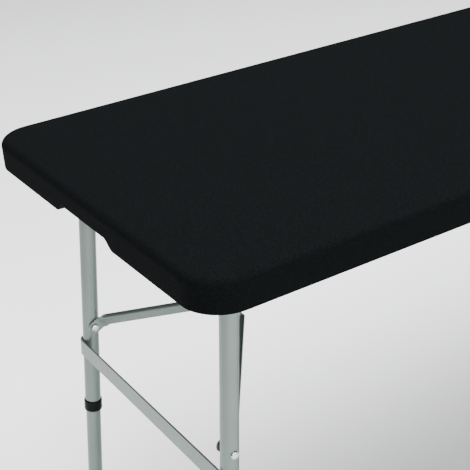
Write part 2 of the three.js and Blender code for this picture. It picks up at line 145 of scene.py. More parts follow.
class TopSettings(bpy.types.PropertyGroup):
    corner_radius: length("Corner radius", "Plan radius of the four corners", 55)
    edge_radius: length("Edge radius", "Round between the top face and the skirt", 11)
    rim_radius: length("Rim radius", "Round on the lower edge of the skirt", 3)
    skirt: length("Skirt wall", "Thickness of the skirt round the edge", 18)
    draft: length("Draft", "How far the inner wall leans in on its way up", 2)
    panel: length("Panel", "Thickness of the flat double wall", 18)
    grip_width: length("Grip width", "Finger grip in each short end, with its ramps", 164)
    grip_flat: length("Grip flat", "Straight part of the finger grip", 120)
    grip_rise: length("Grip rise", "How far the grip's edge lies above the rim", 12)
    dimple_pitch: length("Dimple pitch", "Spacing of the tack-off dimples underneath", 60)
    dimple_radius: length("Dimple radius", "Radius of a dimple at its mouth", 19)
    dimple_depth: length("Dimple depth", "Depth of a dimple into the panel", 9)
    plastic: colour("Plastic", "Colour of the moulded top", "#07090a")


class MetalSettings(bpy.types.PropertyGroup):
    sheet: length("Brace sheet", "Thickness of the pressed braces", 2)
    rail_sheet: length("Rail sheet", "Thickness of the rolled side rails", 1.5)
    strap: length("Strap", "Thickness of the cross straps", 3)
    strap_gap: length("Strap fit", "Room between the wrapped strap and the tube", 0.6)
    strap_wrap: angle("Strap wrap", "How far each strap end wraps round its leg", 110)
    tab_radius: length("Leg tab", "Radius of the arm's end at the leg", 10.5)
    knuckle_radius: length("Knuckle tab", "Radius of the arm's end at the knuckle", 9)
    flange: length("Flange", "Depth of the arm's channel", 7)
    bend: length("Bend", "Inside bend radius of the pressed pieces", 2)
    shank: length("Rivet shank", "Radius of rivets and pins in their holes", 3)
    head_height: length("Rivet head", "Height of the domed rivet heads", 3)
    hole_fit: length("Hole fit", "Room round a rod or rivet in its hole", 0.3)
    screw_radius: length("Screw head", "Radius of the pan-head screws", 4.2)
    screw_height: length("Screw head height", "Height of the pan-head screws", 2.4)
    rail_screws: IntProperty(name="Screws in a rail", description="Screws along each rail", default=7, min=2)
    paint: colour("Paint", "Colour of the powder coat", "#66716d")
    zinc: colour("Zinc", "Colour of the zinc plating", "#c6c9c8")
    fittings: colour("Fittings", "Colour of the collars and feet", "#090b0c")


class StudioSettings(bpy.types.PropertyGroup):
    lens: FloatProperty(name="Lens", description="Focal length", default=84.58, unit="CAMERA")
    camera_place: FloatVectorProperty(
        name="Camera place", description="Where the camera stands",
        default=(-1.4169, -1.2024, 1.3211), subtype="TRANSLATION", unit="LENGTH")
    camera_yaw: angle("Camera yaw", "Turn of the camera from straight along the y axis", 31.326)
    camera_pitch: angle("Camera pitch", "How far the camera looks down", 26.698)
    camera_roll: angle("Camera roll", "Turn of the camera about its own line of sight", -4.017)
    floor: colour("Floor", "Colour of the studio floor", "#f4f5f5")
    room: colour("Room", "Colour of the light from all round", "#f7f9fa")
    room_light: FloatProperty(name="Room light", description="Strength of the light from all round",
                              default=0.4, min=0)


# ---------------------------------------------------------------- materials
def add(tree, kind, inputs=None, **settings):
    """Adds a node: settings are its own fields, inputs are values or other nodes' outputs."""
    node = tree.nodes.new(kind)
    for field, value in settings.items():
        setattr(node, field, value)
    for socket, value in (inputs or {}).items():
        if isinstance(value, bpy.types.NodeSocket):
            tree.links.new(value, node.inputs[socket])
        else:
            node.inputs[socket].default_value = value
    return node


def new_material(name):
    """An empty material, its tree, and the place on the piece that its patterns follow."""
    material = bpy.data.materials.new(name)
    material.use_nodes = True
    tree = material.node_tree
    tree.nodes.clear()
    return material, tree, add(tree, "ShaderNodeTexCoord").outputs["Object"]


def shade(base, factor):
    """A linear colour made darker or lighter."""
    return (*[channel * factor for channel in base[:3]], 1)


# A Mix node's colour sockets share their names with its other kinds, so they go by place.
MIX_FIRST, MIX_SECOND, MIX_RESULT = 6, 7, 2


def mottled(tree, base, pattern, dark, light):
    """A colour that drifts with a pattern from a darker shade of the base to a lighter one."""
    share = add(tree, "ShaderNodeMapRange", {"Value": pattern, "From Min": 0.3, "From Max": 0.7})
    tone = add(tree, "ShaderNodeMix", {
        "Factor": share.outputs["Result"], MIX_FIRST: shade(base, dark), MIX_SECOND: shade(base, light),
        }, data_type="RGBA")
    return tone.outputs[MIX_RESULT]


def blow_moulded_hdpe(base):
    """Blow-moulded HDPE: a grain from the mould, its cells painted lighter towards the middle as painted
    highlights, and a dull sheen with faint scuffs.

    The real grain is under 1 mm and wouldn't show, so it is drawn at 2.2 mm. The very low
    specular level keeps the black deep under the soft lights.
    """
    material, tree, place = new_material("blow_moulded_hdpe")
    grain = add(tree, "ShaderNodeTexVoronoi", {"Vector": place, "Scale": 1 / (2.2 * MM)},
                feature="SMOOTH_F1")
    scuffs = add(tree, "ShaderNodeTexNoise", {
        "Vector": place, "Scale": 1 / (9 * MM), "Detail": 8, "Roughness": 0.7})
    # Painted highlight: each grain cell is painted lighter towards its middle and darker at its rim. This
    # stands in for the glints on the grain that the low specular level doesn't give.
    painted_grain_highlight = add(tree, "ShaderNodeMapRange", {
        "Value": grain.outputs["Distance"], "From Min": 0.1, "From Max": 0.6, "To Min": 1, "To Max": 0})
    tone = add(tree, "ShaderNodeMix", {
        "Factor": painted_grain_highlight.outputs["Result"], MIX_FIRST: shade(base, 0.7), MIX_SECOND: shade(base, 1.4),
        }, data_type="RGBA")
    dullness = add(tree, "ShaderNodeMapRange", {
        "Value": scuffs.outputs["Fac"], "From Min": 0.3, "From Max": 0.7, "To Min": 0.78, "To Max": 0.88})
    bump = add(tree, "ShaderNodeBump", {
        "Strength": 0.5, "Distance": 0.4 * MM, "Height": grain.outputs["Distance"]})
    shader = add(tree, "ShaderNodeBsdfPrincipled", {
        "Base Color": tone.outputs[MIX_RESULT], "Roughness": dullness.outputs["Result"], "IOR": 1.54,
        "Specular IOR Level": 0.02, "Normal": bump.outputs["Normal"]})
    add(tree, "ShaderNodeOutputMaterial", {"Surface": shader.outputs["BSDF"]})
    return material


def powder_coated_steel(base):
    """Steel under a grey metallic powder coat: half gloss, with fine orange peel."""
    material, tree, place = new_material("powder_coated_steel")
    peel = add(tree, "ShaderNodeTexNoise", {
        "Vector": place, "Scale": 1 / (1.6 * MM), "Detail": 2, "Roughness": 0.5})
    drift = add(tree, "ShaderNodeTexNoise", {
        "Vector": place, "Scale": 1 / (70 * MM), "Detail": 4, "Roughness": 0.5})
    tone = mottled(tree, base, drift.outputs["Fac"], 0.94, 1.05)
    gloss = add(tree, "ShaderNodeMapRange", {
        "Value": peel.outputs["Fac"], "From Min": 0.3, "From Max": 0.7, "To Min": 0.3, "To Max": 0.4})
    bump = add(tree, "ShaderNodeBump", {
        "Strength": 0.2, "Distance": 0.06 * MM, "Height": peel.outputs["Fac"]})
    shader = add(tree, "ShaderNodeBsdfPrincipled", {
        "Base Color": tone, "Roughness": gloss.outputs["Result"],
        "Metallic": 0.65, "Normal": bump.outputs["Normal"]})
    add(tree, "ShaderNodeOutputMaterial", {"Surface": shader.outputs["BSDF"]})
    return material


def zinc_plated_steel(base):
    """Bright zinc on steel: a metal whose plating is slightly mottled and softly worn."""
    material, tree, place = new_material("zinc_plated_steel")
    mottle = add(tree, "ShaderNodeTexNoise", {
        "Vector": place, "Scale": 1 / (2.5 * MM), "Detail": 4, "Roughness": 0.5})
    wear = add(tree, "ShaderNodeTexNoise", {
        "Vector": place, "Scale": 1 / (12 * MM), "Detail": 6, "Roughness": 0.5})
    tone = mottled(tree, base, wear.outputs["Fac"], 0.85, 1.05)
    polish = add(tree, "ShaderNodeMapRange", {
        "Value": mottle.outputs["Fac"], "From Min": 0.3, "From Max": 0.7, "To Min": 0.24, "To Max": 0.38})
    bump = add(tree, "ShaderNodeBump", {
        "Strength": 0.15, "Distance": 0.04 * MM, "Height": mottle.outputs["Fac"]})
    shader = add(tree, "ShaderNodeBsdfPrincipled", {
        "Base Color": tone, "Roughness": polish.outputs["Result"],
        "Metallic": 1, "Normal": bump.outputs["Normal"]})
    add(tree, "ShaderNodeOutputMaterial", {"Surface": shader.outputs["BSDF"]})
    return material


def injection_moulded_polypropylene(base):
    """Injection-moulded black polypropylene: smooth and glossier than the top, faintly rippled."""
    material, tree, place = new_material("injection_moulded_polypropylene")
    ripple = add(tree, "ShaderNodeTexNoise", {
        "Vector": place, "Scale": 1 / (3 * MM), "Detail": 2, "Roughness": 0.5})
    tone = mottled(tree, base, ripple.outputs["Fac"], 0.9, 1.1)
    gloss = add(tree, "ShaderNodeMapRange", {
        "Value": ripple.outputs["Fac"], "From Min": 0.3, "From Max": 0.7, "To Min": 0.26, "To Max": 0.34})
    bump = add(tree, "ShaderNodeBump", {
        "Strength": 0.1, "Distance": 0.05 * MM, "Height": ripple.outputs["Fac"]})
    shader = add(tree, "ShaderNodeBsdfPrincipled", {
        "Base Color": tone, "Roughness": gloss.outputs["Result"], "IOR": 1.49,
        "Specular IOR Level": 0.06, "Normal": bump.outputs["Normal"]})
    add(tree, "ShaderNodeOutputMaterial", {"Surface": shader.outputs["BSDF"]})
    return material


def seamless_paper(base):
    """Matt studio paper: nearly white, with a faint fibre that keeps it from looking painted."""
    material, tree, place = new_material("seamless_paper")
    fibre = add(tree, "ShaderNodeTexNoise", {
        "Vector": place, "Scale": 1 / (400 * MM), "Detail": 4, "Roughness": 0.5})
    tone = mottled(tree, base, fibre.outputs["Fac"], 0.99, 1)
    shader = add(tree, "ShaderNodeBsdfPrincipled", {
        "Base Color": tone, "Roughness": 0.95})
    add(tree, "ShaderNodeOutputMaterial", {"Surface": shader.outputs["BSDF"]})
    return material


def finish(context, slot):
    """The material of one of the record's slots, made the first time it is asked for."""
    metal = context.scene.table_metal
    makers = {
        "moulded_top": (blow_moulded_hdpe, context.scene.table_top.plastic),
        "coated_steel": (powder_coated_steel, metal.paint),
        "zinc_steel": (zinc_plated_steel, metal.zinc),
        "black_plastic": (injection_moulded_polypropylene, metal.fittings),
    }
    maker, base = makers[slot]
    return bpy.data.materials.get(maker.__name__) or maker(base)


# ---------------------------------------------------------------- shapes
def rounded(points, steps=4, closed=False):
    """A 2D outline. A corner given a third number is rounded to that radius."""
    outline = []
    last = len(points) - 1
    for i, (x, y, *radius) in enumerate(points):
        corner = Vector((x, y))
        if not radius or (not closed and i in (0, last)):
            outline.append(corner)
            continue
        before = (Vector(points[i - 1][:2]) - corner).normalized()
        after = (Vector(points[(i + 1) % len(points)][:2]) - corner).normalized()
        half = before.angle(after) / 2
        centre = corner + (before + after).normalized() * (radius[0] / math.sin(half))
        start = corner + before * (radius[0] / math.tan(half)) - centre
        end = corner + after * (radius[0] / math.tan(half)) - centre
        sweep = start.angle(end)
        for k in range(steps + 1):
            share = k / steps
            mixed = start * math.sin((1 - share) * sweep) + end * math.sin(share * sweep)
            outline.append(centre + mixed / math.sin(sweep))
    return outline


def smooth_step(value):
    """From 0 to 1 with a level start and end."""
    t = min(max(value, 0), 1)
    return t * t * (3 - 2 * t)


def to_mesh(bm, name):
    """A new mesh from a bmesh, which is freed."""
    mesh = bpy.data.meshes.new(name)
    bm.to_mesh(mesh)
    bm.free()
    return mesh


def add_bands(bm, rows, closed_across=False, closed_along=False):
    """Faces between rows of points, all rows as long as each other. Returns the rows' vertices."""
    rings = [[bm.verts.new(point) for point in row] for row in rows]
    count = len(rows[0])
    for i in range(len(rows) if closed_along else len(rows) - 1):
        here, there = rings[i], rings[(i + 1) % len(rows)]
        for k in range(count if closed_across else count - 1):
            after = (k + 1) % count
            bm.faces.new((here[k], here[after], there[after], there[k]))
    return rings


def grid_mesh(name, rows, closed_across=False, closed_along=False):
    """A surface through rows of points, with its poles closed."""
    bm = bmesh.new()
    add_bands(bm, rows, closed_across, closed_along)
    bmesh.ops.remove_doubles(bm, verts=bm.verts, dist=WELD)
    bmesh.ops.recalc_face_normals(bm, faces=bm.faces)
    return to_mesh(bm, name)


def turned(name, profile, origin, axis, facets=48, closed=False):
    """A turned piece: pairs of radius and height above origin along axis, once round it."""
    side = axis.orthogonal().normalized()
    other = axis.cross(side)
    rows = []
    for i in range(facets):
        turn = 2 * math.pi * i / facets
        out = side * math.cos(turn) + other * math.sin(turn)
        rows.append([origin + out * radius + axis * height for radius, height in profile])
    return grid_mesh(name, rows, closed_across=closed, closed_along=True)


def prism(name, outline, middle, right, up, depth):
    """A flat outline made depth thick, half to each side of middle."""
    bm = bmesh.new()
    through = right.cross(up) * (depth / 2)
    near, far = ([bm.verts.new(middle + right * p[0] + up * p[1] + step) for p in outline]
                 for step in (through, -through))
    bm.faces.new(near)
    bm.faces.new(list(reversed(far)))
    for k in range(len(outline)):
        after = (k + 1) % len(outline)
        bm.faces.new((near[k], far[k], far[after], near[after]))
    bmesh.ops.recalc_face_normals(bm, faces=bm.faces)
    return to_mesh(bm, name)


def circle(radius, steps=32):
    return [Vector((radius * math.cos(2 * math.pi * k / steps), radius * math.sin(2 * math.pi * k / steps)))
            for k in range(steps)]


def drill(radius, middle, axis, depth):
    """A round cutter, half its depth to each side of middle."""
    right = axis.orthogonal().normalized()
    return prism("drill", circle(radius), middle, right, axis.cross(right), depth)


def modified(mesh, kind, **settings):
    """The mesh with one modifier worked into it."""
    holder = bpy.data.objects.new("holder", mesh)
    bpy.context.scene.collection.objects.link(holder)
    modifier = holder.modifiers.new(kind.title(), kind)
    for field, value in settings.items():
        setattr(modifier, field, value)
    result = evaluated(holder)
    bpy.data.objects.remove(holder)
    return result


def evaluated(holder):
    """A plain mesh of an object as its modifiers leave it."""
    graph = bpy.context.evaluated_depsgraph_get()
    return bpy.data.meshes.new_from_object(holder.evaluated_get(graph))


def combined(mesh, operation, tools):
    """The mesh with each tool cut from it or joined to it in turn."""
    for tool in tools:
        holder = bpy.data.objects.new("tool", tool)
        bpy.context.scene.collection.objects.link(holder)
        mesh = modified(mesh, "BOOLEAN", object=holder, operation=operation, solver="EXACT")
        bpy.data.objects.remove(holder)
    return mesh


def pressed(name, rows, thickness):
    """Sheet metal: a surface through rows of points, given its thickness half to each side."""
    sheet = grid_mesh(name, rows)
    return modified(sheet, "SOLIDIFY", thickness=thickness, offset=0, use_even_offset=True)


def quarter_turn(steps):
    """Angles from nothing to a right angle in equal steps."""
    return [k / steps * math.pi / 2 for k in range(steps + 1)]


HEAD_RIM = 0.12  # the straight rim of a domed head, as a share of its height


def dome(radius, height, base, direction, steps=8):
    """The profile of a domed head from its edge to its tip, with a small straight edge."""
    edge = HEAD_RIM * height
    curve = [(radius * math.cos(t), base + direction * (edge + (height - edge) * math.sin(t)))
             for t in quarter_turn(steps)]
    return [(radius - edge / 2, base), *curve[:-1], (0, base + direction * height)]


# ---------------------------------------------------------------- placing pieces
SHARP_CORNER = math.radians(34)
BEVELLED_CORNER = math.radians(50)


def place_piece(context, name, mesh, body, slot, replaced=(), mirror=(1, 1), edge=0):
    """Puts a copy of a mesh in the scene as one finished piece that rides on a body."""
    data = mesh.copy()
    data.name = name
    data.transform(Matrix.Diagonal((*mirror, 1, 1)))
    if mirror[0] * mirror[1] < 0:
        data.flip_normals()
    data.shade_smooth()
    data.set_sharp_from_angle(angle=SHARP_CORNER)
    data.materials.clear()
    data.materials.append(finish(context, slot))
    piece = bpy.data.objects.new(name, data)
    context.scene.collection.objects.link(piece)
    if edge:
        bevel = piece.modifiers.new("Soft edges", "BEVEL")
        bevel.width = edge
        bevel.segments = 2
        bevel.limit_method = "ANGLE"
        bevel.angle_limit = BEVELLED_CORNER
    normals = piece.modifiers.new("Flat faces stay flat", "WEIGHTED_NORMAL")
    normals.keep_sharp = True
    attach(piece, body)
    if replaced:
        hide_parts(*replaced)


def place_at_ends(context, name, mesh, body, slot, node, edge=0):
    """One piece for each end of the table. The top is one body for both ends."""
    for end, facing in ENDS.items():
        ridden = body if body == "top" else f"{body}_{end}"
        place_piece(context, f"{name}_{end}", mesh, ridden, slot, [f"{node}_{end}"], (facing, 1), edge)


def place_at_legs(context, name, mesh, body, slot, node, edge=0):
    """One piece for each leg. A body named for the end only is shared by its two legs."""
    for end, facing in ENDS.items():
        for side, way in SIDES.items():
            where = f"{end}_{side}"
            own = f"{body}_{where}"
            ridden = own if own in frame["bodies"] else f"{body}_{end}"
            place_piece(context, f"{name}_{where}", mesh, ridden, slot, [f"{node}_{where}"],
                        (facing, way), edge)


# ---------------------------------------------------------------- repeats by Geometry Nodes
def fixings_tree():
    """Geometry Nodes: copies of one item on a flat grid, each turned by a seeded angle."""
    tree = bpy.data.node_groups.new("Items on a grid", "GeometryNodeTree")
    interface = tree.interface
    interface.new_socket("Geometry", in_out="OUTPUT", socket_type="NodeSocketGeometry")
    for label, kind in (("Item", "Object"), ("Material", "Material"), ("Columns", "Int"), ("Rows", "Int"),
                        ("Size X", "Float"), ("Size Y", "Float"), ("Middle", "Vector"), ("Turn", "Float"),
                        ("Seed", "Int")):
        interface.new_socket(label, in_out="INPUT", socket_type=f"NodeSocket{kind}")
    given = add(tree, "NodeGroupInput").outputs
    grid = add(tree, "GeometryNodeMeshGrid", {
        "Vertices X": given["Columns"], "Vertices Y": given["Rows"],
        "Size X": given["Size X"], "Size Y": given["Size Y"]})
    moved = add(tree, "GeometryNodeTransform", {"Geometry": grid.outputs["Mesh"],
                                                "Translation": given["Middle"]})
    item = add(tree, "GeometryNodeObjectInfo", {"Object": given["Item"], "As Instance": True})
    turn = add(tree, "FunctionNodeRandomValue", {"Max": given["Turn"], "Seed": given["Seed"]},
               data_type="FLOAT")
    rotation = add(tree, "ShaderNodeCombineXYZ", {"Z": turn.outputs["Value"]})
    copies = add(tree, "GeometryNodeInstanceOnPoints", {
        "Points": moved.outputs["Geometry"], "Instance": item.outputs["Geometry"],
        "Rotation": rotation.outputs["Vector"]})
    real = add(tree, "GeometryNodeRealizeInstances", {"Geometry": copies.outputs["Instances"]})
    coated = add(tree, "GeometryNodeSetMaterial", {"Geometry": real.outputs["Geometry"],
                                                   "Material": given["Material"]})
    add(tree, "NodeGroupOutput", {"Geometry": coated.outputs["Geometry"]})
    return tree


def repeated(context, item, slot, inputs):
    """A plain mesh of the item's copies on a grid: the tree's result, its modifier gone."""
    tree = bpy.data.node_groups.get("Items on a grid") or fixings_tree()
    sample = bpy.data.objects.new("item", item)
    context.scene.collection.objects.link(sample)
    holder = bpy.data.objects.new("copies", bpy.data.meshes.new("copies"))
    modifier = holder.modifiers.new("Items on a grid", "NODES")
    modifier.node_group = tree
    values = {"Item": sample, "Material": finish(context, slot), "Turn": 0.0, "Seed": 7, **inputs}
    for socket in tree.interface.items_tree:
        if socket.in_out == "INPUT":
            modifier[socket.identifier] = values[socket.name]
    context.scene.collection.objects.link(holder)
    mesh = evaluated(holder)
    bpy.data.objects.remove(holder)
    bpy.data.objects.remove(sample)
    return mesh


# ---------------------------------------------------------------- moulded top
CORNER_STEPS = 16
RAMP_STEPS = 10
EDGE_STEPS = 8
RIM_STEPS = 4
DIMPLE_SIDES = 16
# A dimple's profile from its mouth inwards: shares of its radius and of its depth.
DIMPLE_PROFILE = ((1, 0), (0.93, 0.07), (0.84, 0.3), (0.6, 0.84), (0.5, 0.96), (0.4, 1))
SUPPORT = 1.5 * MM  # a loop this far from a round keeps the flat beside it evenly shaded


def grip_ramp(top):
    """The length of the slope at each end of a finger grip."""
    return (top.grip_width - top.grip_flat) / 2


def grip_rise(top, y):
    return top.grip_rise * smooth_step((top.grip_width / 2 - abs(y)) / grip_ramp(top))


def plan_loop(top, inset, depth, follows_grip=False):
    """One closed loop of the top's plan, inset from its outside, at a depth below the surface."""
    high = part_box("tabletop")[1]
    radius = max(top.corner_radius - inset, MM)
    half_x, half_y = high.x - inset, high.y - inset
    ramp_y = [top.grip_flat / 2 + grip_ramp(top) * k / RAMP_STEPS for k in range(RAMP_STEPS + 1)]
    stations = [-y for y in reversed(ramp_y)] + [0] + ramp_y
    loop = []

    def put(x, y):
        loop.append(Vector((x, y, high.z - depth + (grip_rise(top, y) if follows_grip else 0))))

    def corner(sign_x, sign_y, start):
        for turn in quarter_turn(CORNER_STEPS):
            put(sign_x * (half_x - radius) + radius * math.cos(start + turn),
                sign_y * (half_y - radius) + radius * math.sin(start + turn))

    for y in stations:
        put(half_x, y)
    corner(1, 1, 0)
    corner(-1, 1, math.pi / 2)
    for y in reversed(stations):
        put(-half_x, y)
    corner(-1, -1, math.pi)
    corner(1, -1, 1.5 * math.pi)
    return loop


def dimple_cell(top):
    """One square of the underside with a tack-off dimple pressed up into it."""
    turns = [2 * math.pi * k / DIMPLE_SIDES for k in range(DIMPLE_SIDES)]
    rays = [Vector((math.cos(t), math.sin(t), 0)) for t in turns]
    rows = [[ray * (top.dimple_pitch / 2) / max(abs(ray.x), abs(ray.y)) for ray in rays]]
    for share, rise in DIMPLE_PROFILE:
        rows.append([ray * (top.dimple_radius * share) + Z * (top.dimple_depth * rise) for ray in rays])
    bm = bmesh.new()
    rings = add_bands(bm, rows, closed_across=True)
    bm.faces.new(rings[-1])
    return to_mesh(bm, "dimple_cell")


class TABLE_OT_moulded_top(bpy.types.Operator):
    """Moulds the one-piece top, with its skirt, finger grips and dimpled underside"""
    bl_idname = "table.moulded_top"
    bl_label = "Moulded Top"

    def execute(self, context):
        top = context.scene.table_top
        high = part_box("tabletop")[1]
        loops = self.loops(top)
        bm = bmesh.new()
        bm.from_mesh(self.dimples(context, top))
        surface = add_bands(bm, loops, closed_across=True)[0]
        middle = bm.verts.new((0, 0, high.z))
        for here, there in zip(surface, surface[1:] + surface[:1]):
            bm.faces.new((middle, here, there))
        bmesh.ops.remove_doubles(bm, verts=bm.verts, dist=TINY)
        border = [e for e in bm.edges if e.is_boundary]
        bmesh.ops.triangle_fill(bm, use_beauty=True, edges=border, normal=-Z)
        bmesh.ops.recalc_face_normals(bm, faces=bm.faces)
        place_piece(context, "moulded_top", to_mesh(bm, "moulded_top"), "top", "moulded_top", ["tabletop"])
        return {"FINISHED"}

    def loops(self, top):
        """The top's plan again and again: over the edge, down the skirt and up its inner wall."""
        low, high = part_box("tabletop")
        depth = high.z - low.z
        edge, rim = top.edge_radius, top.rim_radius
        loops = [plan_loop(top, edge + SUPPORT, 0)]
        loops += [plan_loop(top, edge * (1 - math.sin(a)), edge * (1 - math.cos(a)))
                  for a in quarter_turn(EDGE_STEPS)]
        loops += [plan_loop(top, 0, edge + SUPPORT)]
        loops += [plan_loop(top, rim * (1 - math.cos(a)), depth - rim * (1 - math.sin(a)), True)
                  for a in quarter_turn(RIM_STEPS)]
        loops += [plan_loop(top, top.skirt - rim * (1 - math.sin(a)), depth - rim * (1 - math.cos(a)), True)
                  for a in quarter_turn(RIM_STEPS)]
        loops += [plan_loop(top, top.skirt + top.draft, top.panel)]
        return loops

    def dimples(self, context, top):
        """The field of dimples under the panel, as many as fit inside the skirt."""
        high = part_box("tabletop")[1]
        foot = top.skirt + top.draft
        columns = int(2 * (high.x - foot) / top.dimple_pitch)
        rows = int(2 * (high.y - foot) / top.dimple_pitch)
        return repeated(context, dimple_cell(top), "moulded_top", {
            "Columns": columns, "Rows": rows, "Size X": (columns - 1) * top.dimple_pitch,
            "Size Y": (rows - 1) * top.dimple_pitch, "Middle": (0, 0, high.z - top.panel)})


# ---------------------------------------------------------------- rails
RAIL_EDGE = 0.3 * MM
DRIVER_ROOM = 1.3  # access holes in the lower flange, as a share of the screw heads


def screw_line(metal):
    """The rail screws' seats across the table: in the middle of the upper flange."""
    low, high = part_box("side_rail_back")
    return Vector((0, (low.y + high.y) / 2 + metal.rail_sheet, high.z - metal.rail_sheet))


def screw_places(metal):
    """The rail screws' places along the table, evenly spaced."""
    low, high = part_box("side_rail_back")
    inset = (high.x - low.x) / (2 * metal.rail_screws)
    span = high.x - low.x - 2 * inset
    return [low.x + inset + span * k / (metal.rail_screws - 1) for k in range(metal.rail_screws)]


class TABLE_OT_side_rails(bpy.types.Operator):
    """Rolls the C-section rails that carry the hinge rods under the long sides"""
    bl_idname = "table.side_rails"
    bl_label = "Side Rails"

    def execute(self, context):
        metal = context.scene.table_metal
        low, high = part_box("side_rail_back")
        half = metal.rail_sheet / 2
        bend = metal.bend + half
        through = 8 * half
        section = rounded([(high.y, high.z - half), (low.y + half, high.z - half, bend),
                           (low.y + half, low.z + half, bend), (high.y, low.z + half)])
        rows = [[Vector((x, y, z)) for y, z in section] for x in (low.x, high.x)]
        rail = pressed("rail", rows, metal.rail_sheet)
        rod_radius = about("hinge_rod_left", HINGE, Y)[3]
        holes = [drill(rod_radius + metal.hole_fit, Vector((x, low.y, HINGE.z)), Y, through)
                 for x in (HINGE.x, -HINGE.x)]
        access = DRIVER_ROOM * metal.screw_radius
        holes += [drill(access, Vector((x, screw_line(metal).y, low.z)), Z, through)
                  for x in screw_places(metal)]
        rail = combined(rail, "DIFFERENCE", holes)
        for side, way in SIDES.items():
            place_piece(context, f"rolled_rail_{side}", rail, "top", "coated_steel", [f"side_rail_{side}"],
                        (1, way), RAIL_EDGE)
        return {"FINISHED"}


# ---------------------------------------------------------------- legs
END_ROUND_STEPS = 3
FITTING_FACETS = 64
COLLAR_ROUND_STEPS = 5
TUBE_END_ROUND = 0.45  # the round on a tube's cut ends, as a share of its wall
COLLAR_TOP_ROUND = 2 * MM
COLLAR_FOOT_ROUND = 1.5 * MM
COLLAR_BORE_ROUND = 0.4 * MM
COLLAR_SEAT_ROUND = 0.3 * MM
COLLAR_LIP = 2.6 * MM  # how much of the collar closes round the lower tube alone
PUSH_FIT = 0.3 * MM  # room between a plastic fitting and the tube in it
BUTTON_FACETS = 32
BUTTON_DOME = 0.6  # the height of a snap button's dome, as a share of its radius
FOOT_ROUND = 1.5 * MM
FOOT_MOUTH_ROUND = 0.5 * MM
RIBS = 3
RIB_START = 6 * MM
RIB_PITCH = 4.5 * MM
RIB_WIDTH = 1.2 * MM
RIB_ROUND = 0.4 * MM
GROOVE_END = 1.5  # where a groove between ribs runs out, in rib widths from its start


def tube(name, node, soften):
    """A tube on the leg's axis, as long and wide as its node, with soft ends."""
    start, end, inner, outer = about(node, LEG_POINT, LEG_DOWN)
    ring = [(outer, start, soften), (outer, end, soften), (inner, end, soften), (inner, start, soften)]
    outline = rounded(ring, END_ROUND_STEPS, closed=True)
    return turned(name, outline, LEG_POINT, LEG_DOWN, closed=True)


class TABLE_OT_leg_tubes(bpy.types.Operator):
    """Cuts and drills the upper leg tubes and the lower tubes that slide in them"""
    bl_idname = "table.leg_tubes"
    bl_label = "Leg Tubes"

    def execute(self, context):
        metal = context.scene.table_metal
        inner, outer = about("leg_upper_left_back", LEG_POINT, LEG_DOWN)[2:]
        soften = TUBE_END_ROUND * (outer - inner)
        rod_hole = about("hinge_rod_left", HINGE, Y)[3] + metal.hole_fit
        button_hole = about("snap_button_left_back", BUTTON, BUTTON_OUT)[3] + metal.hole_fit
        through = 4 * outer
        upper = combined(tube("upper_tube", "leg_upper_left_back", soften), "DIFFERENCE", [
            drill(rod_hole, leg_at(HINGE, Z), Y, through),
            drill(metal.shank + metal.hole_fit, leg_at(BRACE_ROOT, Z), Y, through),
            drill(button_hole, BUTTON, BUTTON_OUT, outer),
        ])
        place_at_legs(context, "upper_tube", upper, "leg_frame", "coated_steel", "leg_upper")
        lower = combined(tube("lower_tube", "leg_lower_left_back", soften), "DIFFERENCE", [
            drill(button_hole, BUTTON - LEG_DOWN * travel, BUTTON_OUT, outer)
            for travel in (0, *LEG_TRAVEL)])
        place_at_legs(context, "lower_tube", lower, "lower_leg", "coated_steel", "leg_lower")
        return {"FINISHED"}


